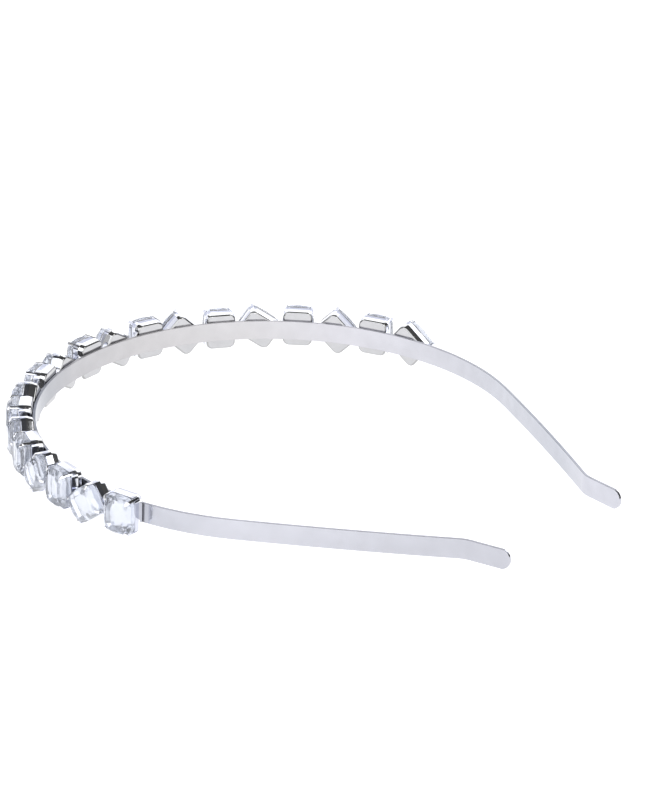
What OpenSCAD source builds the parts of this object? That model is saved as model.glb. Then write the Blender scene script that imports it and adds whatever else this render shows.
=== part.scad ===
// Crystal headband: a thin metal band, bent to an open arch, that carries a row of claw settings, each
// holding one clear cut stone. The band lies on its side, with its width along Z, the crown towards +Y
// and the two ends towards -Y. Millimetres.

/* [Band] */
// Width of the metal strip
band_w = 5; // [4:0.1:6]
// Thickness of the metal strip
band_t = 0.7; // [0.5:0.05:1]
// Radius of the crown, on the strip's centre line
crown_r = 60; // [58:0.5:66]
// Turn of the crown on each side of its middle, in degrees
crown_deg = 120; // [112:1:122]
// Radius of each arm, which is nearly straight
arm_r = 780; // [400:10:1500]
// Length of each arm
arm_len = 52; // [40:1:60]
// Radius of the outward bend before each end
bend_r = 7.5; // [5:0.5:15]
// Turn of the outward bend, in degrees
bend_deg = 24; // [10:1:35]
// Length of the straight end piece
tip_len = 10.2; // [8:0.2:14]
// Radius that rounds off each end
end_r = 2.6; // [2.6:0.1:4]

/* [Row of stones] */
// Number of stones
stone_count = 20; // [8:2:20]
// Distance between neighbouring stones, along the strip's centre line
pitch = 9.85; // [9.85:0.05:10.1]
// How far the middle of the row sits from the crown's middle, towards -X
row_shift = 7.1; // [0:0.1:8]
// Glue film between the strip and the back of each setting
glue_t = 0.05; // [0.03:0.01:0.1]

/* [Setting] */
// Width of the back of a setting
back_w = 7.7; // [7.5:0.05:7.7]
// Length of the back of a setting
back_l = 9.2; // [9:0.05:9.2]
// Corner radius of the back
back_r = 1.5; // [1.2:0.1:1.8]
// Height of the lower, narrower part of the wall
step_h = 1.6; // [1:0.1:2]
// Width across the upper wall
cup_w = 8.1; // [8:0.05:8.1]
// Length across the upper wall
cup_l = 9.6; // [9.5:0.05:9.6]
// Corner radius of the upper wall
cup_r = 1.9; // [1.8:0.1:2.2]
// Height of the wall
cup_h = 3.3; // [3:0.1:3.4]
// Thickness of the sheet metal
sheet_t = 0.3; // [0.25:0.05:0.4]
// Width of a claw
claw_w = 1.1; // [0.8:0.1:1.3]
// Thickness of a claw
claw_t = 0.35; // [0.3:0.05:0.4]
// How far a claw stands proud of the corner
claw_proud = 0.15; // [0.1:0.05:0.2]
// Height where a claw bends over the stone
claw_h = 5.3; // [5.3:0.05:5.5]
// Length of the bent tip of a claw
claw_tip = 1.2; // [0.8:0.1:1.4]
// Lean of the bent tip away from upright, in degrees
claw_lean = 54; // [50:1:56]

/* [Stone] */
// Width of a stone across its girdle
stone_w = 8; // [7.8:0.05:8]
// Length of a stone across its girdle
stone_l = 9.5; // [9.3:0.05:9.5]
// Size of the cut at each corner of the girdle
stone_cut = 1.41; // [1.41:0.05:1.9]
// How much the middle of a side bows out past its ends
stone_bow = 0.08; // [0:0.02:0.15]
// Height of the lower edge of the girdle above the strip side of the setting
seat_z = 3.4; // [3.4:0.05:3.6]
// Height of the upper edge of the girdle
girdle_z = 5.1; // [4.6:0.05:5.1]
// Height of the table
table_z = 6.4; // [6.2:0.05:6.5]
// Width of the table
table_w = 5.4; // [4.8:0.1:5.8]
// Length of the table
table_l = 6.9; // [6.3:0.1:7.3]
// Size of the cut at each corner of the table
table_cut = 1.3; // [1:0.1:1.6]

/* [Hidden] */
$fn = 64;

// How far each turned stone leans from upright, in degrees, starting at the +X end of the row
TURNS = [52, 45, 57, 47, 59, 61, 45, 48, 50, 52];

// The stones are set by hand: how far each one stands from its even place towards +X, and above the
// middle of the strip's width, both starting at the +X end of the row
NUDGES = [
    0, 0, 0, 0, 0, 0, 0.05, 0.2, 0.4, 0.45,
    0.45, 0.4, 0.3, 0.25, 0.35, 0.5, 0.7, 0.95, 1.2, 1.45
];
RISES = [
    0, 0.2, -0.45, 0.2, -0.3, -0.4, -0.4, 0, -0.15, 0,
    -0.1, 0, -0.2, 0.1, -0.2, -0.15, -0.4, 0.1, -0.3, 0.15
];

function numbered(name, i) = str(name, i < 10 ? "_0" : "_", i);

// Odd stones are turned, even stones stand upright across the strip
function is_turned(i) = i % 2 == 1;
function turn_of(i) = is_turned(i) ? TURNS[(i - 1) / 2] : 0;
function arc_of(i) = ((stone_count + 1) / 2 - i) * pitch - row_shift + NUDGES[i - 1];
function bearing_of(i) = arc_of(i) / crown_r * 180 / PI;

// Directions in plan at a bearing from +Y towards +X
function outward(bearing) = [sin(bearing), cos(bearing)];
function along(bearing) = [cos(bearing), -sin(bearing)];

// The strip's centre line on the +X side, as [point, bearing] pairs from the crown's middle to the tip
arm_deg = arm_len / arm_r * 180 / PI;
arm_bearing = crown_deg + arm_deg;
tip_bearing = arm_bearing - bend_deg;
crown_steps = 80;
arm_steps = 10;
bend_steps = 8;
function crown_point(bearing) = [crown_r * outward(bearing), bearing];
function arm_point(bearing) =
    [crown_r * outward(crown_deg) + arm_r * (outward(bearing) - outward(crown_deg)), bearing];
function bend_point(bearing) =
    [arm_point(arm_bearing)[0] + bend_r * (outward(arm_bearing) - outward(bearing)), bearing];
bend_end = bend_point(tip_bearing)[0];
tip_end = bend_end + tip_len * along(tip_bearing);
centre_line = concat(
    [for (k = [0:crown_steps]) crown_point(crown_deg * k / crown_steps)],
    [for (k = [1:arm_steps]) arm_point(crown_deg + arm_deg * k / arm_steps)],
    [for (k = [1:bend_steps]) bend_point(arm_bearing - bend_deg * k / bend_steps)],
    [[tip_end, tip_bearing]]
);

// The centre line moved outward by a distance, and its copy on the -X side from the tip to the crown
function moved(distance) = [for (p = centre_line) p[0] + distance * outward(p[1])];
function other_side(points) = [for (k = [len(points) - 1:-1:1]) [-points[k][0], points[k][1]]];
function turned_round(points) = [for (k = [len(points) - 1:-1:0]) points[k]];

// Reach of a claw's outer corner below the middle of a setting that leans by a turn
claw_face = cup_r + claw_proud;
function corner_reach(turn) =
    (cup_w / 2 - cup_r) * sin(turn)
    + (cup_l / 2 - cup_r) * cos(turn)
    + claw_face * cos(turn - 45)
    + claw_w / 2 * abs(sin(turn - 45));
lift = max([for (i = [1:2:stone_count]) corner_reach(turn_of(i)) - RISES[i - 1]]);

// Reach of the stones' tables to both sides, which sets the middle of the whole headband
back_y = crown_r + band_t / 2 + glue_t;
table_y = back_y + table_z;
function table_half(turn) =
    max((table_w / 2 - table_cut) * cos(turn) + table_l / 2 * sin(turn),
        table_w / 2 * cos(turn) + (table_l / 2 - table_cut) * sin(turn));
function side_reach(i, side) =
    side * table_y * sin(bearing_of(i)) + table_half(turn_of(i)) * abs(cos(bearing_of(i)));
function front_reach(i) =
    table_y * cos(bearing_of(i)) + table_half(turn_of(i)) * abs(sin(bearing_of(i)));
right_reach = max([for (i = [1:stone_count]) side_reach(i, 1)]);
left_reach = max([for (i = [1:stone_count]) side_reach(i, -1)]);
crown_reach = max([for (i = [1:stone_count]) front_reach(i)]);
tip_reach = -tip_end[1] + band_t / 2 * abs(outward(tip_bearing)[1]);
centre = [(left_reach - right_reach) / 2, (tip_reach - crown_reach) / 2, lift];

// Lower part of a stone: a small flat culet near the cup's floor, widening to just inside the cup's rim
culet_w = 3.4;
culet_l = 4.9;
culet_cut = 0.9;
culet_gap = 0.35;
throat_gap = 0.42;
throat_drop = 0.05;

// Upper part of a stone: kite points about halfway up, over the middles of the sides and corner cuts
kite_bulge = 0.3;
kite_w = (stone_w + table_w) / 2 + kite_bulge;
kite_l = (stone_l + table_l) / 2 + kite_bulge;
kite_cut = (stone_cut + table_cut) / 2 + 0.62;
kite_z = girdle_z + (table_z - girdle_z) * 0.48;

// What is cut from a square end to round it off, at the +X tip
module tip_corners() {
    translate([tip_end[0], tip_end[1], 0])
        rotate([90, 0, -tip_bearing])
            translate([-end_r, 0, 0])
                difference() {
                    translate([0, -band_w, -band_t])
                        cube([2 * end_r, 2 * band_w, 2 * band_t]);
                    cylinder(r = end_r, h = 4 * band_t, center = true);
                }
}

module band() {
    outer = moved(band_t / 2);
    inner = moved(-band_t / 2);
    color("gainsboro")
        translate(centre)
            difference() {
                linear_extrude(height = band_w, center = true)
                    polygon(concat(
                        other_side(outer),
                        outer,
                        turned_round(concat(other_side(inner), inner))
                    ));
                tip_corners();
                mirror([1, 0, 0])
                    tip_corners();
            }
}

// Puts a setting or stone, modelled with its back on the XY plane, on the outer face of the strip
module on_band(i) {
    translate(centre)
        rotate([0, 0, -bearing_of(i)])
            translate([0, back_y, RISES[i - 1]])
                rotate([-90, -turn_of(i), 0])
                    children();
}

module rounded_rectangle(w, l, r) {
    square([w - 2 * r, l], center = true);
    square([w, l - 2 * r], center = true);
    for (x = [-1, 1], y = [-1, 1])
        translate([x * (w / 2 - r), y * (l / 2 - r)])
            circle(r = r);
}

// A claw stands on the wall's corner and bends inward over the stone. Its outline is drawn from the side.
module claw() {
    foot_z = step_h - 0.4;
    inner = claw_face - claw_t;
    elbow = [inner, claw_h];
    tip_way = claw_tip * [-sin(claw_lean), cos(claw_lean)];
    elbow_steps = 4;
    outer_elbow = [
        for (k = [0:elbow_steps])
            elbow + claw_t * [cos(claw_lean * k / elbow_steps), sin(claw_lean * k / elbow_steps)]
    ];
    rotate([90, 0, 0])
        linear_extrude(height = claw_w, center = true)
            polygon(concat(
                [[inner, foot_z], [claw_face, foot_z]],
                outer_elbow,
                [outer_elbow[elbow_steps] + tip_way, elbow + tip_way, elbow]
            ));
}

module setting_body() {
    difference() {
        union() {
            linear_extrude(height = step_h)
                rounded_rectangle(back_w, back_l, back_r);
            translate([0, 0, step_h])
                linear_extrude(height = cup_h - step_h)
                    rounded_rectangle(cup_w, cup_l, cup_r);
        }
        translate([0, 0, sheet_t])
            linear_extrude(height = cup_h)
                rounded_rectangle(back_w - 2 * sheet_t, back_l - 2 * sheet_t, back_r - sheet_t);
        translate([0, 0, step_h])
            linear_extrude(height = cup_h)
                rounded_rectangle(cup_w - 2 * sheet_t, cup_l - 2 * sheet_t, cup_r - sheet_t);
    }
    for (x = [-1, 1], y = [-1, 1])
        translate([x * (cup_w / 2 - cup_r), y * (cup_l / 2 - cup_r), 0])
            rotate([0, 0, atan2(y, x)])
                claw();
}

module setting(i) {
    color("silver")
        on_band(i)
            setting_body();
}

// One ring of 16 points round a stone: the middle of each side and corner cut, and the ends of the sides
function quarter(w, l, cut, bow) = [
    [w / 2, 0],
    [w / 2 - bow, l / 2 - cut],
    [(w - cut) / 2, (l - cut) / 2],
    [w / 2 - cut, l / 2 - bow],
    [0, l / 2]
];
function mirrored_at(q, k) =
    k <= 4 ? q[k]
    : k <= 8 ? [-q[8 - k][0], q[8 - k][1]]
    : k <= 12 ? [-q[k - 8][0], -q[k - 8][1]]
    : [q[16 - k][0], -q[16 - k][1]];
function ring(w, l, cut, bow, z) = [for (k = [0:15]) concat(mirrored_at(quarter(w, l, cut, bow), k), z)];

module stone_body() {
    culet = ring(culet_w, culet_l, culet_cut, 0, sheet_t + culet_gap);
    throat = ring(cup_w - 2 * throat_gap, cup_l - 2 * throat_gap, stone_cut, 0, seat_z - throat_drop);
    seat = ring(stone_w, stone_l, stone_cut, stone_bow, seat_z);
    girdle = ring(stone_w, stone_l, stone_cut, stone_bow, girdle_z);
    kite = ring(kite_w, kite_l, kite_cut, 0, kite_z);
    table = ring(table_w, table_l, table_cut, 0, table_z);
    rings = concat(culet, throat, seat, girdle, kite, table);
    function at(level, k) = level * 16 + (k + 16) % 16;
    sides = [
        for (level = [0:2], k = [0:15])
            [at(level, k), at(level + 1, k), at(level + 1, k + 1), at(level, k + 1)]
    ];
    crown = [
        for (k = [0:2:14]) each [
            [at(4, k), at(3, k), at(3, k - 1)],
            [at(4, k), at(3, k + 1), at(3, k)],
            [at(4, k), at(5, k + 1), at(3, k + 1)],
            [at(4, k), at(3, k - 1), at(5, k - 1)],
            [at(4, k), at(5, k - 1), at(5, k + 1)]
        ]
    ];
    polyhedron(
        points = rings,
        faces = concat(
            sides,
            crown,
            [[for (k = [0:15]) at(0, k)]],
            [[for (k = [15:-2:1]) at(5, k)]]
        )
    );
}

module stone(i) {
    color("azure")
        on_band(i)
            stone_body();
}

band();
for (i = [1:stone_count]) {
    setting(i);
    stone(i);
}
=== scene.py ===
import math
import bmesh
import bpy
from mathutils import Matrix, Vector


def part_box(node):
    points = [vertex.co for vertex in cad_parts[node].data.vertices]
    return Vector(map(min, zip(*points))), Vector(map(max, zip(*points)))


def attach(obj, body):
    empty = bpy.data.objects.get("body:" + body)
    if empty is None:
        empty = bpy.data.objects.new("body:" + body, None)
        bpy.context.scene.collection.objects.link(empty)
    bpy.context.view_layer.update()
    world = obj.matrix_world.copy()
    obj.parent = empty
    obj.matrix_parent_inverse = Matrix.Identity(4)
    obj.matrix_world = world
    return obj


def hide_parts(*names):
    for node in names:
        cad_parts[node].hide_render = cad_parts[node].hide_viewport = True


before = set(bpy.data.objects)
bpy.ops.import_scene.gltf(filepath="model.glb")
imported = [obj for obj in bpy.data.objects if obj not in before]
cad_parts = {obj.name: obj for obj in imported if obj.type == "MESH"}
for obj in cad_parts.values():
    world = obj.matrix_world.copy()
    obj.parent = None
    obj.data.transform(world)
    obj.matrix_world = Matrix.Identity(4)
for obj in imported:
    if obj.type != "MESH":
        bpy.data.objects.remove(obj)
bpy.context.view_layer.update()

mm = 0.001

# The strip: one narrow band of spring steel, plated silver and polished, bent to an open arch that grips
# the head. Its edges are rolled slightly round, and each end flares outward and is rounded off, so that it
# slides over the hair.
strip_width = 5.0
strip_thickness = 0.7
strip_edge_round = 0.12
crown_radius = 60.0
crown_turn = math.radians(120)
crown_steps = 120
arm_radius = 780.0
arm_length = 52.0
arm_steps = 14
flare_radius = 7.5
flare_turn = math.radians(24)
flare_steps = 10
end_length = 10.2
end_radius = 2.6
end_rings = 11
rings_to_point = 10.6
crease_angle = math.radians(40)
strip_low, strip_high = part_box("band")
strip_centre = Vector((
    (strip_low.x + strip_high.x) / 2,
    strip_high.y - (crown_radius + strip_thickness / 2) * mm,
    (strip_low.z + strip_high.z) / 2,
))


def outward(bearing):
    """Direction in plan that points away from the head, at a bearing from the middle of the crown."""
    return Vector((math.sin(bearing), math.cos(bearing), 0))


def ahead(bearing):
    """Direction in plan that runs along the strip towards its +X end."""
    return Vector((math.cos(bearing), -math.sin(bearing), 0))


arm_turn = arm_length / arm_radius
arm_bearing = crown_turn + arm_turn
end_bearing = arm_bearing - flare_turn
crown_end = crown_radius * outward(crown_turn)
arm_centre = crown_end - arm_radius * outward(crown_turn)
arm_end = arm_centre + arm_radius * outward(arm_bearing)
flare_centre = arm_end + flare_radius * outward(arm_bearing)

# The strip's section is stood up at the middle of the crown and bent along the +X half.
strip = bmesh.new()
section = bmesh.ops.create_grid(strip, x_segments=1, y_segments=1, size=0.5)["verts"]
bmesh.ops.scale(strip, vec=(strip_thickness, strip_width, 1), verts=section)
bmesh.ops.bevel(strip, geom=section, offset=strip_edge_round, offset_type="OFFSET", affect="VERTICES",
                segments=3, profile=0.5, material=-1)
bmesh.ops.delete(strip, geom=strip.faces[:], context="FACES_ONLY")
stand_up = Matrix(((0, 0, 1, 0), (1, 0, 0, crown_radius), (0, 1, 0, 0), (0, 0, 0, 1)))
bmesh.ops.transform(strip, matrix=stand_up, verts=strip.verts[:])
leading = strip.verts[:] + strip.edges[:]
for bend_centre, bend_axis, bend_angle, bend_steps in (
    (Vector((0, 0, 0)), -1, crown_turn, crown_steps),
    (arm_centre, -1, arm_turn, arm_steps),
    (flare_centre, 1, flare_turn, flare_steps),
):
    leading = bmesh.ops.spin(strip, geom=leading, cent=bend_centre, axis=(0, 0, bend_axis),
                             dvec=(0, 0, 0), angle=bend_angle, steps=bend_steps,
                             use_duplicate=False)["geom_last"]

# The end piece runs straight on and narrows ring by ring along a circle. The last ring lies just short of
# the point and is closed with one face. The other half of the strip is a mirror image.
round_from = math.asin(strip_width / 2 / end_radius)
reach, half = 0.0, strip_width / 2
for ring in range(end_rings):
    angle = round_from * (1 - ring / rings_to_point)
    next_reach = end_length - end_radius + end_radius * math.cos(angle)
    next_half = end_radius * math.sin(angle)
    rim = [e for e in leading if isinstance(e, bmesh.types.BMEdge)]
    leading = bmesh.ops.extrude_edge_only(strip, edges=rim)["geom"]
    moved = [v for v in leading if isinstance(v, bmesh.types.BMVert)]
    bmesh.ops.translate(strip, vec=(next_reach - reach) * ahead(end_bearing), verts=moved)
    bmesh.ops.scale(strip, vec=(1, 1, next_half / half), verts=moved)
    reach, half = next_reach, next_half
    leading = moved + [e for e in strip.edges if all(v in moved for v in e.verts)]
last_ring = [e for e in leading if isinstance(e, bmesh.types.BMEdge)]
bmesh.ops.holes_fill(strip, edges=last_ring, sides=0)
bmesh.ops.mirror(strip, geom=strip.verts[:] + strip.edges[:] + strip.faces[:], matrix=Matrix.Identity(4),
                 merge_dist=0.001, axis="X")
bmesh.ops.recalc_face_normals(strip, faces=strip.faces[:])

# A UV map in millimetres runs along the strip and across it, so that the finish follows the bend.
polish_map = strip.loops.layers.uv.new("along_strip")
for face in strip.faces:
    for corner in face.loops:
        x, y, z = corner.vert.co
        bearing = math.atan2(abs(x), y)
        if bearing < crown_turn:
            along = bearing * crown_radius
        else:
            along = crown_turn * crown_radius + (Vector((abs(x), y, 0)) - crown_end).length
        corner[polish_map].uv = (math.copysign(along, x), z)
bmesh.ops.transform(strip, matrix=Matrix.Translation(strip_centre) @ Matrix.Scale(mm, 4),
                    verts=strip.verts[:])
for face in strip.faces:
    face.smooth = True
strip_mesh = bpy.data.meshes.new("headband_strip")
strip.to_mesh(strip_mesh)
strip.free()
strip_mesh.set_sharp_from_angle(angle=crease_angle)
headband_strip = bpy.data.objects.new("headband_strip", strip_mesh)
bpy.context.scene.collection.objects.link(headband_strip)
headband_strip.modifiers.new("flat faces stay flat", "WEIGHTED_NORMAL").keep_sharp = True


def new_finish(name):
    """A material, the tree that the nodes of its surface are added to, and its shader."""
    material = bpy.data.materials.new(name)
    material.use_nodes = True
    return material, material.node_tree, material.node_tree.nodes["Principled BSDF"]


def clouds(tree, place, scale, detail=2.0):
    """Soft cloudy noise, for haze, grain and the marks of handling."""
    noise = tree.nodes.new("ShaderNodeTexNoise")
    noise.inputs["Scale"].default_value = scale
    noise.inputs["Detail"].default_value = detail
    tree.links.new(place, noise.inputs["Vector"])
    return noise.outputs["Fac"]


def spread(tree, value, low, high, to_low=0.0, to_high=1.0):
    """Turns a value that runs from low to high into one that runs from to_low to to_high."""
    stretch = tree.nodes.new("ShaderNodeMapRange")
    stretch.inputs["From Min"].default_value = low
    stretch.inputs["From Max"].default_value = high
    stretch.inputs["To Min"].default_value = to_low
    stretch.inputs["To Max"].default_value = to_high
    tree.links.new(value, stretch.inputs["Value"])
    return stretch.outputs["Result"]


def shades(tree, value, *stops):
    """A colour that changes with a value, from stop to stop. A stop is a position and its colour."""
    ramp = tree.nodes.new("ShaderNodeValToRGB")
    elements = ramp.color_ramp.elements
    for element, (position, colour) in ((elements[0], stops[0]), (elements[1], stops[-1])):
        element.position = position
        element.color = (*colour, 1)
    for position, colour in stops[1:-1]:
        elements.new(position).color = (*colour, 1)
    tree.links.new(value, ramp.inputs["Fac"])
    return ramp.outputs["Color"]


def dimmed(tree, colour, share):
    """A colour multiplied by a share of its brightness that changes over the surface."""
    dimmer = tree.nodes.new("ShaderNodeMix")
    dimmer.data_type = "RGBA"
    dimmer.blend_type = "MULTIPLY"
    dimmer.inputs["Factor"].default_value = 1.0
    tree.links.new(colour, dimmer.inputs["A"])
    tree.links.new(share, dimmer.inputs["B"])
    return dimmer.outputs["Result"]


def reckon(tree, operation, *values):
    """One sum, worked out over the surface. Each value is a number or comes from another node."""
    sums = tree.nodes.new("ShaderNodeMath")
    sums.operation = operation
    for socket, value in zip(sums.inputs, values):
        if isinstance(value, float):
            socket.default_value = value
        else:
            tree.links.new(value, socket)
    return sums.outputs["Value"]


# The plating's colour is painted paler and darker along the strip, a painted reflection of the paler and
# darker things around it. Each stop is a length in millimetres from the middle of the crown towards the +X
# end, and the plating's painted colour there.
strip_reach = 180.0
painted_reflection_tones = (
    (-172.8, (0.53, 0.535, 0.585)),
    (-126.0, (0.60, 0.605, 0.66)),
    (-39.6, (0.33, 0.35, 0.40)),
    (-25.2, (0.39, 0.40, 0.435)),
    (-10.8, (0.505, 0.50, 0.52)),
    (14.4, (0.555, 0.545, 0.555)),
    (43.2, (0.605, 0.595, 0.61)),
    (72.0, (0.63, 0.625, 0.67)),
    (122.4, (0.54, 0.55, 0.60)),
    (162.0, (0.48, 0.495, 0.55)),
    (180.0, (0.58, 0.585, 0.64)),
)
strip_finish, tree, shader = new_finish("polished_plating_strip")
shader.inputs["Metallic"].default_value = 1.0
strip_map = tree.nodes.new("ShaderNodeUVMap")
strip_map.uv_map = "along_strip"
along_and_across = tree.nodes.new("ShaderNodeSeparateXYZ")
tree.links.new(strip_map.outputs["UV"], along_and_across.inputs["Vector"])
lines_stretch = tree.nodes.new("ShaderNodeMapping")
lines_stretch.inputs["Scale"].default_value = (0.5, 14.0, 1.0)
tree.links.new(strip_map.outputs["UV"], lines_stretch.inputs["Vector"])
polish_lines = clouds(tree, lines_stretch.outputs["Vector"], 1.0, 4.0)
handling = clouds(tree, strip_map.outputs["UV"], 0.22, 3.0)
along_share = spread(tree, along_and_across.outputs["X"], -strip_reach, strip_reach)
tone_stops = [((length + strip_reach) / (2 * strip_reach), colour) for length, colour in painted_reflection_tones]
along_colour = shades(tree, along_share, *tone_stops)
face_colour = dimmed(tree, along_colour, spread(tree, handling, 0.3, 0.7, 0.93, 1.0))

# A dark line is painted along the rolled edge, a painted reflection, clear on the arms and fading out on
# the crown.
no_line, full_line = (0, 0, 0), (1, 1, 1)
from_centre_line = reckon(tree, "ABSOLUTE", along_and_across.outputs["Y"])
edge_share = reckon(tree, "DIVIDE", from_centre_line, strip_width / 2)
painted_edge_reflection = shades(tree, edge_share, (0.0, no_line), (0.971, no_line), (0.978, full_line),
                   (0.984, full_line), (0.989, no_line), (1.0, no_line))
on_arm = spread(tree, reckon(tree, "ABSOLUTE", along_and_across.outputs["X"]), 60.0, 115.0)
painted_reflection_on_arm = reckon(tree, "MULTIPLY", painted_edge_reflection, on_arm)
strip_colour = tree.nodes.new("ShaderNodeMix")
strip_colour.data_type = "RGBA"
# The colour of the painted dark reflection along the edge.
strip_colour.inputs["B"].default_value = (0.2, 0.19, 0.2, 1)
tree.links.new(painted_reflection_on_arm, strip_colour.inputs["Factor"])
tree.links.new(face_colour, strip_colour.inputs["A"])
tree.links.new(strip_colour.outputs["Result"], shader.inputs["Base Color"])
face_gloss = spread(tree, polish_lines, 0.3, 0.7, 0.09, 0.2)
edge_gloss = spread(tree, edge_share, 0.95, 0.985, 0.0, 0.45)
tree.links.new(reckon(tree, "ADD", face_gloss, edge_gloss), shader.inputs["Roughness"])
strip_bump = tree.nodes.new("ShaderNodeBump")
strip_bump.inputs["Strength"].default_value = 0.05
strip_bump.inputs["Distance"].default_value = 0.02 * mm
tree.links.new(polish_lines, strip_bump.inputs["Height"])
tree.links.new(strip_bump.outputs["Normal"], shader.inputs["Normal"])
strip_mesh.materials.append(strip_finish)
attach(headband_strip, "root")
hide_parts("band")

# The claw settings: twenty cups stamped from thin plated brass, each glued by its flat back to the outside
# of the strip. The wall flares to a straight rim, and four claws stand at its corners and are pressed down
# over the stone.
stone_count = 20
pitch = 9.85
row_shift = 7.1
glue_thickness = 0.05
turns = (52, 45, 57, 47, 59, 61, 45, 48, 50, 52)
nudges = (
    0, 0, 0, 0, 0, 0, 0.05, 0.2, 0.4, 0.45,
    0.45, 0.4, 0.3, 0.25, 0.35, 0.5, 0.7, 0.95, 1.2, 1.45,
)
rises = (
    0, 0.2, -0.45, 0.2, -0.3, -0.4, -0.4, 0, -0.15, 0,
    -0.1, 0, -0.2, 0.1, -0.2, -0.15, -0.4, 0.1, -0.3, 0.15,
)
sheet_thickness = 0.3
wall_width = 8.1
wall_length = 9.6
wall_corner = 1.7
rim_in = 0.12
rim_height = 3.2
flare_height = 1.5
back_width = 7.4
back_length = 9.2
back_round = 0.45
back_inside_below = 1.0
edge_round = 0.07
claw_width = 0.75
claw_thickness = 0.35
claw_proud = 0.05
claw_foot = 1.4
claw_bend_height = 5.1
claw_bend_radius = 0.15
claw_bend_steps = 5
claw_lean = math.radians(58)
claw_tip = 1.05
tip_parts = ((0.6, 1.0), (0.28, 0.84), (0.12, 0.7))


def seat_on_strip(i):
    """Matrix that takes a cup or stone, drawn in millimetres on its back, to its place in the row."""
    bearing = (((stone_count + 1) / 2 - i) * pitch - row_shift + nudges[i - 1]) / crown_radius
    turn = math.radians(turns[(i - 1) // 2]) if i % 2 else 0.0
    back = crown_radius + strip_thickness / 2 + glue_thickness
    return (
        Matrix.Translation(strip_centre)
        @ Matrix.Scale(mm, 4)
        @ Matrix.Rotation(-bearing, 4, "Z")
        @ Matrix.Translation((0, back, rises[i - 1]))
        @ Matrix.Rotation(-turn, 4, "Y")
        @ Matrix.Rotation(math.radians(-90), 4, "X")
    )


cup = bmesh.new()
outline = bmesh.ops.create_grid(cup, x_segments=1, y_segments=1, size=0.5)["verts"]
bmesh.ops.scale(cup, vec=(wall_width, wall_length, 1), verts=outline)
bmesh.ops.translate(cup, vec=(0, 0, rim_height), verts=outline)
bmesh.ops.bevel(cup, geom=outline, offset=wall_corner, offset_type="OFFSET", affect="VERTICES",
                segments=8, profile=0.5, material=-1)
panel = bmesh.ops.extrude_discrete_faces(cup, faces=cup.faces[:])["faces"]
bmesh.ops.translate(cup, vec=(0, 0, flare_height - rim_height), verts=panel[0].verts[:])
bmesh.ops.scale(cup, vec=(1 - 2 * rim_in / wall_width, 1 - 2 * rim_in / wall_length, 1),
                verts=[v for v in cup.verts if v.co.z > flare_height + 0.1])
panel = bmesh.ops.extrude_discrete_faces(cup, faces=panel)["faces"]
bmesh.ops.translate(cup, vec=(0, 0, -flare_height), verts=panel[0].verts[:])
bmesh.ops.scale(cup, vec=(back_width / wall_width, back_length / wall_length, 1), verts=panel[0].verts[:])
bmesh.ops.bevel(cup, geom=panel[0].edges[:], offset=back_round, offset_type="OFFSET", affect="EDGES",
                segments=5, profile=0.5, material=-1)
bmesh.ops.recalc_face_normals(cup, faces=cup.faces[:])
bmesh.ops.solidify(cup, geom=cup.faces[:], thickness=sheet_thickness)
rim_edges = [e for e in cup.edges if all(v.co.z > rim_height - 0.01 for v in e.verts)]
bmesh.ops.bevel(cup, geom=rim_edges, offset=edge_round, offset_type="OFFSET", affect="EDGES",
                segments=2, profile=0.5, material=-1)
# Faces inside the wall and on the inner back take the second material, a darker copy of the plating:
# painted shade under the stone.
for face in cup.faces:
    centre = face.calc_center_median()
    wall_inside = face.normal.x * centre.x + face.normal.y * centre.y < -0.5
    back_inside = face.normal.z > 0.9 and centre.z < back_inside_below
    face.material_index = 1 if wall_inside or back_inside else 0

# One claw: a flat prong that rises from the wall's corner, is bent inward and ends in a narrower tip.
claw = bmesh.new()
bmesh.ops.create_cube(claw, size=1.0)
upright = claw_bend_height - claw_foot
inner_face = wall_corner + claw_proud - claw_thickness
bmesh.ops.scale(claw, vec=(claw_thickness, claw_width, upright), verts=claw.verts[:])
bmesh.ops.translate(claw, vec=(inner_face + claw_thickness / 2, 0, claw_foot + upright / 2),
                    verts=claw.verts[:])
end = [f for f in claw.faces if f.normal.z > 0.9]
end = bmesh.ops.spin(claw, geom=end, cent=(inner_face - claw_bend_radius, 0, claw_bend_height),
                     axis=(0, -1, 0), dvec=(0, 0, 0), angle=claw_lean, steps=claw_bend_steps,
                     use_duplicate=False)["geom_last"]
end = [f for f in end if isinstance(f, bmesh.types.BMFace)]
tip_way = Vector((-math.sin(claw_lean), 0, math.cos(claw_lean)))
for length_share, narrowing in tip_parts:
    end = bmesh.ops.extrude_discrete_faces(claw, faces=end)["faces"]
    bmesh.ops.translate(claw, vec=length_share * claw_tip * tip_way, verts=end[0].verts[:])
    bmesh.ops.scale(claw, vec=(1, narrowing, 1), verts=end[0].verts[:])
bmesh.ops.recalc_face_normals(claw, faces=claw.faces[:])
claw_edges = [e for e in claw.edges if e.calc_face_angle(0) > crease_angle]
bmesh.ops.bevel(claw, geom=claw_edges, offset=edge_round, offset_type="OFFSET", affect="EDGES",
                segments=2, profile=0.5, material=-1)
claw_mesh = bpy.data.meshes.new("claw")
claw.to_mesh(claw_mesh)
claw.free()
for corner_x, corner_y in ((1, 1), (-1, 1), (-1, -1), (1, -1)):
    placed = set(cup.verts)
    cup.from_mesh(claw_mesh)
    corner_centre = (
        corner_x * (wall_width / 2 - wall_corner),
        corner_y * (wall_length / 2 - wall_corner),
        0,
    )
    corner_turn = Matrix.Rotation(math.atan2(corner_y, corner_x), 4, "Z")
    bmesh.ops.transform(cup, matrix=Matrix.Translation(corner_centre) @ corner_turn,
                        verts=[v for v in cup.verts if v not in placed])
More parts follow.
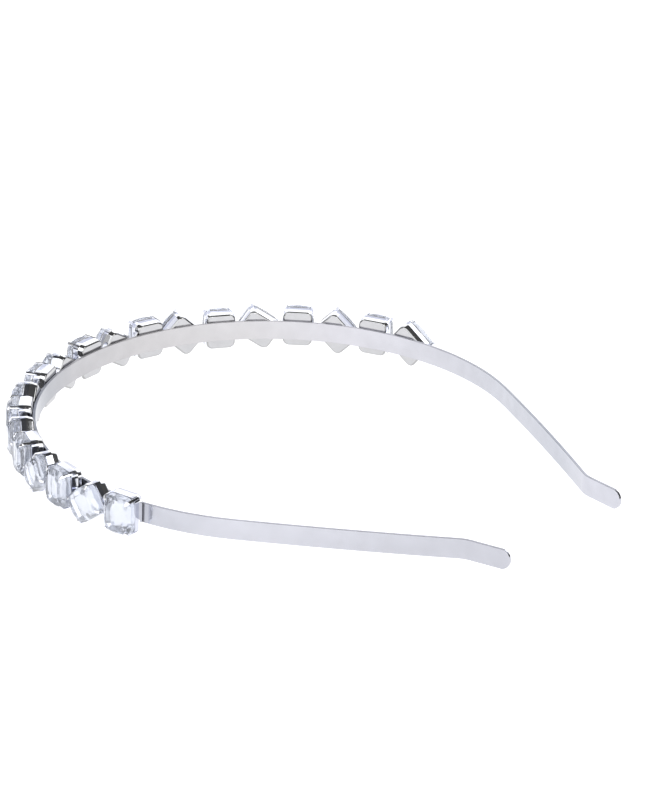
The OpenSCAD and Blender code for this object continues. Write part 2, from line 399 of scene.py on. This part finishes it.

# A UV map runs round the cup and up its wall, so that the plating's painted shade and reflection can follow
# the height.
height_map = cup.loops.layers.uv.new("height_above_strip")
for face in cup.faces:
    face.smooth = True
    for corner in face.loops:
        x, y, z = corner.vert.co
        corner[height_map].uv = (math.atan2(y, x), z)
cup_mesh = bpy.data.meshes.new("cup")
cup.to_mesh(cup_mesh)
cup.free()
cup_mesh.set_sharp_from_angle(angle=crease_angle)
for edge in cup_mesh.edges:
    if all(abs(cup_mesh.vertices[v].co.z - flare_height) < 0.01 for v in edge.vertices):
        edge.use_edge_sharp = True


def clouds_on_piece(tree, scale, detail=2.0):
    """The same cloudy noise, laid on the piece's own coordinates."""
    piece = tree.nodes.new("ShaderNodeTexCoord")
    return clouds(tree, piece.outputs["Object"], scale, detail)


# The plating's colour is painted by height: darker at the back, a painted shade on the round that leads to
# it, bright on the wall, and a pale painted reflection of the surroundings below the rim. Each stop is a
# height in millimetres and the plating's colour there.
round_painted_shade = (0.42, 0.42, 0.42)
bright_plating = (0.90, 0.905, 0.93)
painted_pale_reflection = (0.66, 0.68, 0.765)
height_reach = 5.0
height_tones = (
    (0.0, (0.57, 0.57, 0.585)),
    (0.05, round_painted_shade),
    (0.27, round_painted_shade),
    (0.45, bright_plating),
    (1.85, bright_plating),
    (2.1, painted_pale_reflection),
    (3.4, painted_pale_reflection),
    (3.7, bright_plating),
)
setting_finish, tree, shader = new_finish("polished_plating_setting")
shader.inputs["Metallic"].default_value = 1.0
haze = clouds_on_piece(tree, 450.0, 3.0)
cup_map = tree.nodes.new("ShaderNodeUVMap")
cup_map.uv_map = "height_above_strip"
round_and_up = tree.nodes.new("ShaderNodeSeparateXYZ")
tree.links.new(cup_map.outputs["UV"], round_and_up.inputs["Vector"])
height_share = spread(tree, round_and_up.outputs["Y"], 0.0, height_reach)
tone_stops = [(height / height_reach, colour) for height, colour in height_tones]
height_colour = shades(tree, height_share, *tone_stops)
setting_colour = dimmed(tree, height_colour, spread(tree, haze, 0.3, 0.7, 0.93, 1.0))
tree.links.new(setting_colour, shader.inputs["Base Color"])
tree.links.new(spread(tree, haze, 0.0, 1.0, 0.04, 0.16), shader.inputs["Roughness"])
cup_mesh.materials.append(setting_finish)

# Inside the cup the plating is painted darker, a painted shade under the stone, with a random mottle.
shaded_inside_finish, tree, shader = new_finish("painted_shade_inside_setting")
shader.inputs["Metallic"].default_value = 1.0
shader.inputs["Roughness"].default_value = 0.5
shade_mottle = clouds_on_piece(tree, 700.0, 3.0)
inside_shade_colour = shades(tree, shade_mottle, (0.0, (0.28, 0.28, 0.29)), (1.0, (0.40, 0.40, 0.41)))
tree.links.new(inside_shade_colour, shader.inputs["Base Color"])
cup_mesh.materials.append(shaded_inside_finish)
for i in range(1, stone_count + 1):
    name = f"claw_setting_{i:02d}"
    mesh = cup_mesh.copy()
    mesh.name = name
    mesh.transform(seat_on_strip(i))
    claw_setting = bpy.data.objects.new(name, mesh)
    bpy.context.scene.collection.objects.link(claw_setting)
    claw_setting.modifiers.new("flat faces stay flat", "WEIGHTED_NORMAL").keep_sharp = True
    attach(claw_setting, "root")
    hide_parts(f"setting_{i:02d}")

# The stones: twenty rectangles of clear glass with cut corners and sides that bow out a little. The crown
# is ground to a large table inside two rings of facets, the upright sides are left hazy, and the lower part
# ends in a nearly flat back. Silver foil on it throws the light back, and the downward facets just below
# the girdle are painted dark grey, a painted shade of the gap under the stone.
stone_width = 8.0
stone_length = 9.5
table_height = 6.4
girdle_high = 3.65
girdle_low = 3.5
backing_height = 3.34
flat_back_height = 2.3
corner_way = 45
beside_corner_way = 23

# The facets of one quarter of the stone, ring by ring, in the order in which they are ground: how far in
# from the stone's side and from its end the facet's middle lies (None is at the middle of the stone), its
# height, the way it faces, how far it is turned from there towards the corner, and how far it leans up.
quarter_facets = (
    (0, None, 0, "side", 1.3, 0),
    (None, 0, 0, "end", 1.8, 0),
    (0.76, 0.76, 0, "corner", 0, 0),
    (0.2, 1.6, 0, "by side", 0, 0),
    (1.6, 0.2, 0, "by end", 0, 0),

    (0, None, girdle_high, "side", 1.3, 4),
    (None, 0, girdle_high, "end", 1.8, 4),
    (0.76, 0.76, girdle_high, "corner", 0, 3.2),
    (0.2, 1.6, girdle_high, "by side", 0, 4),
    (1.6, 0.2, girdle_high, "by end", 0, 4),

    (0.2, None, 5.2, "side", 5, 32),
    (None, 0.15, 5.2, "end", 7, 32),
    (0.9, 0.9, 5.1, "corner", 0, 36),
    (0.32, 1.75, 5.15, "by side", 0, 35),
    (1.75, 0.28, 5.15, "by end", 0, 35),

    (1.6, None, table_height, "side", 0, 54),
    (None, 1.25, table_height, "end", 0, 50),
    (2.3, 1.95, table_height, "corner", 0, 57),
    (1.6, 2.75, table_height, "by side", 0, 56),
    (2.9, 1.25, table_height, "by end", 0, 54),

    (0, None, girdle_low, "side", 3, -28),
    (None, 0, girdle_low, "end", 4, -28),
    (0.76, 0.76, girdle_low, "corner", 0, -28),
    (0.2, 1.6, girdle_low, "by side", 0, -29),
    (1.6, 0.2, girdle_low, "by end", 0, -29),

    (0.32, None, 2.9, "side", 4, -60),
    (None, 0.32, 2.9, "end", 5, -60),
    (0.98, 0.98, 2.9, "corner", 0, -60),
    (0.5, 1.7, 2.9, "by side", 0, -60),
    (1.7, 0.5, 2.9, "by end", 0, -60),
)
stone = bmesh.new()


def grind(point, azimuth, elevation):
    """Grinds one flat facet through a point. What lies outside goes, and one face closes the cut."""
    azimuth, elevation = math.radians(azimuth), math.radians(elevation)
    facing = Vector((
        math.cos(azimuth) * math.cos(elevation),
        math.sin(azimuth) * math.cos(elevation),
        math.sin(elevation),
    ))
    cut = bmesh.ops.bisect_plane(stone, geom=stone.verts[:] + stone.edges[:] + stone.faces[:], dist=1e-5,
                                 plane_co=Vector(point), plane_no=facing, clear_outer=True)["geom_cut"]
    bmesh.ops.holes_fill(stone, edges=[e for e in cut if isinstance(e, bmesh.types.BMEdge)], sides=0)


bmesh.ops.create_cube(stone, size=1.0)
bmesh.ops.scale(stone, vec=(stone_width, stone_length, table_height - flat_back_height),
                verts=stone.verts[:])
bmesh.ops.translate(stone, vec=(0, 0, (table_height + flat_back_height) / 2), verts=stone.verts[:])
for side_sign, end_sign in ((1, 1), (-1, 1), (-1, -1), (1, -1)):
    side = 0 if side_sign > 0 else 180
    end = 90 if end_sign > 0 else 270
    side_to_corner = side_sign * end_sign
    ways = {
        "side": side,
        "end": end,
        "corner": side + side_to_corner * corner_way,
        "by side": side + side_to_corner * beside_corner_way,
        "by end": end - side_to_corner * beside_corner_way,
    }
    for from_side, from_end, height, way, turned, lean in quarter_facets:
        x = 0 if from_side is None else side_sign * (stone_width / 2 - from_side)
        y = 0 if from_end is None else end_sign * (stone_length / 2 - from_end)
        to_corner = -side_to_corner if way == "end" else side_to_corner
        grind((x, y, height), ways[way] + to_corner * turned, lean)
bmesh.ops.bisect_plane(stone, geom=stone.verts[:] + stone.edges[:] + stone.faces[:], dist=1e-5,
                       plane_co=(0, 0, backing_height), plane_no=(0, 0, 1))
bmesh.ops.recalc_face_normals(stone, faces=stone.faces[:])
polished, foiled, girdle_shaded, hazy = range(4)
for face in stone.faces:
    height = face.calc_center_median().z
    # Downward facets above the foil take the dark grey of the painted shade below the girdle.
    if face.normal.z < -0.2:
        face.material_index = girdle_shaded if height > backing_height else foiled
    elif face.normal.z < 0.2 and height > girdle_high:
        face.material_index = hazy
    else:
        face.material_index = polished
stone_mesh = bpy.data.meshes.new("stone")
stone.to_mesh(stone_mesh)
stone.free()

glass_ior = 1.55
crystal_finish, tree, shader = new_finish("clear_crystal")
shader.inputs["IOR"].default_value = glass_ior
shader.inputs["Transmission Weight"].default_value = 1.0
glass_cords = clouds_on_piece(tree, 220.0)
crystal_colour = shades(tree, glass_cords, (0.3, (0.95, 0.97, 1.0)), (0.7, (0.97, 0.98, 1.0)))
tree.links.new(crystal_colour, shader.inputs["Base Color"])
tree.links.new(spread(tree, glass_cords, 0.0, 1.0, 0.0, 0.02), shader.inputs["Roughness"])

foil_finish, tree, shader = new_finish("silver_foil")
shader.inputs["Metallic"].default_value = 0.6
foil_grain = clouds_on_piece(tree, 900.0, 3.0)
foil_colour = shades(tree, foil_grain, (0.3, (0.84, 0.865, 0.94)), (0.7, (0.90, 0.92, 0.98)))
tree.links.new(foil_colour, shader.inputs["Base Color"])
tree.links.new(spread(tree, foil_grain, 0.0, 1.0, 0.08, 0.16), shader.inputs["Roughness"])

# A dark grey on the facets just below the girdle: painted shade of the gap under the stone.
girdle_shade_finish, tree, shader = new_finish("painted_shade_below_girdle")
shader.inputs["Roughness"].default_value = 0.4
girdle_shade_mottle = clouds_on_piece(tree, 500.0)
girdle_shade_colour = shades(tree, girdle_shade_mottle, (0.0, (0.25, 0.25, 0.26)), (1.0, (0.42, 0.42, 0.43)))
tree.links.new(girdle_shade_colour, shader.inputs["Base Color"])

side_finish, tree, shader = new_finish("ground_side_of_crystal")
shader.inputs["IOR"].default_value = glass_ior
shader.inputs["Transmission Weight"].default_value = 0.8
shader.inputs["Roughness"].default_value = 0.16
side_haze = clouds_on_piece(tree, 500.0)
side_colour = shades(tree, side_haze, (0.3, (0.71, 0.745, 0.84)), (0.7, (0.82, 0.85, 0.93)))
tree.links.new(side_colour, shader.inputs["Base Color"])
for finish in (crystal_finish, foil_finish, girdle_shade_finish, side_finish):
    stone_mesh.materials.append(finish)
for i in range(1, stone_count + 1):
    name = f"cut_stone_{i:02d}"
    mesh = stone_mesh.copy()
    mesh.name = name
    mesh.transform(seat_on_strip(i))
    cut_stone = bpy.data.objects.new(name, mesh)
    bpy.context.scene.collection.objects.link(cut_stone)
    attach(cut_stone, "root")
    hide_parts(f"stone_{i:02d}")

# The studio: a plain pale floor that glows by itself, so that it takes no shadow, a wide soft light behind
# with a pale sweep below it on each side, and soft lights at the left, in front and at the right. The room
# is dim above the camera, which leaves the dark lines in the polished metal.
floor_half = 3.0
floor = bmesh.new()
bmesh.ops.create_grid(floor, x_segments=1, y_segments=1, size=floor_half)
floor_mesh = bpy.data.meshes.new("studio_floor")
floor.to_mesh(floor_mesh)
floor.free()
studio_floor = bpy.data.objects.new("studio_floor", floor_mesh)
bpy.context.scene.collection.objects.link(studio_floor)
floor_finish, tree, shader = new_finish("pale_floor")
shader.inputs["Base Color"].default_value = (0.45, 0.45, 0.455, 1)
shader.inputs["Roughness"].default_value = 0.9
shader.inputs["Emission Color"].default_value = (1.0, 1.0, 1.0, 1)
shader.inputs["Emission Strength"].default_value = 0.95
shader.inputs["Specular IOR Level"].default_value = 0.0
floor_mesh.materials.append(floor_finish)

world = bpy.data.worlds.new("studio_room")
world.use_nodes = True
bpy.context.scene.world = world
room = world.node_tree.nodes["Background"]
room.inputs["Color"].default_value = (1.0, 1.0, 1.0, 1)
room.inputs["Strength"].default_value = 0.06
white = (1.0, 1.0, 1.0)
cool_white = (0.97, 0.98, 1.0)
lavender_white = (0.88, 0.90, 1.0)


def softbox(name, azimuth, elevation, distance, width, height, brightness, tint):
    """A flat, evenly bright studio light that faces the headband from a direction and distance."""
    azimuth, elevation = math.radians(azimuth), math.radians(elevation)
    toward = Vector((
        math.cos(azimuth) * math.cos(elevation),
        math.sin(azimuth) * math.cos(elevation),
        math.sin(elevation),
    ))
    facing_in = (-toward).to_track_quat("-Z", "Y").to_matrix().to_4x4()
    data = bpy.data.lights.new(name, "AREA")
    data.shape = "RECTANGLE"
    data.size, data.size_y = width, height
    data.energy = math.pi * width * height * brightness
    data.color = tint
    light = bpy.data.objects.new(name, data)
    light.matrix_world = Matrix.Translation(distance * toward) @ facing_in
    bpy.context.scene.collection.objects.link(light)


softbox("light_behind", 34, 40.5, 1.3, 2.3, 0.9, 1.2, white)
softbox("pale_sweep_right", 11, 20, 1.6, 1.92, 1.17, 0.95, lavender_white)
softbox("pale_sweep_left", 77, 16, 1.6, 2.15, 0.96, 0.95, lavender_white)
softbox("light_left", 194, 29, 1.3, 2.5, 1.3, 1.8, cool_white)
softbox("dim_light_left", 126, 25, 1.5, 0.9, 0.8, 0.4, white)
softbox("light_front", 262, 18, 1.3, 1.4, 0.95, 1.5, white)
softbox("light_right", 278, 48, 1.3, 0.42, 0.38, 3.2, white)
bpy.context.scene.view_settings.view_transform = "Standard"

# The camera: a long lens, about a metre away, looks down on the headband from behind its -X arm. It is
# rolled by a little under two degrees.
camera_elevation = math.radians(23.95)
camera_heading = math.radians(38.71)
camera_roll = math.radians(1.84)
camera_distance = 984.5 * mm
camera_aim = strip_centre + Vector((17.32 * mm, 0.62 * mm, 0))
view_flat = Vector((math.cos(camera_heading), math.sin(camera_heading), 0))
view_right = Vector((math.sin(camera_heading), -math.cos(camera_heading), 0))
view_ahead = math.cos(camera_elevation) * view_flat - math.sin(camera_elevation) * Vector((0, 0, 1))
view_up = view_right.cross(view_ahead)
axis_x = math.cos(camera_roll) * view_right + math.sin(camera_roll) * view_up
axis_y = math.cos(camera_roll) * view_up - math.sin(camera_roll) * view_right
camera_data = bpy.data.cameras.new("studio_camera")
camera_data.sensor_fit = "HORIZONTAL"
camera_data.sensor_width = 36.0
camera_data.lens = 221.44
camera = bpy.data.objects.new("studio_camera", camera_data)
camera.matrix_world = Matrix.Translation(camera_aim - camera_distance * view_ahead) @ Matrix((
    (axis_x.x, axis_y.x, -view_ahead.x, 0),
    (axis_x.y, axis_y.y, -view_ahead.y, 0),
    (axis_x.z, axis_y.z, -view_ahead.z, 0),
    (0, 0, 0, 1),
))
bpy.context.scene.collection.objects.link(camera)
bpy.context.scene.camera = camera
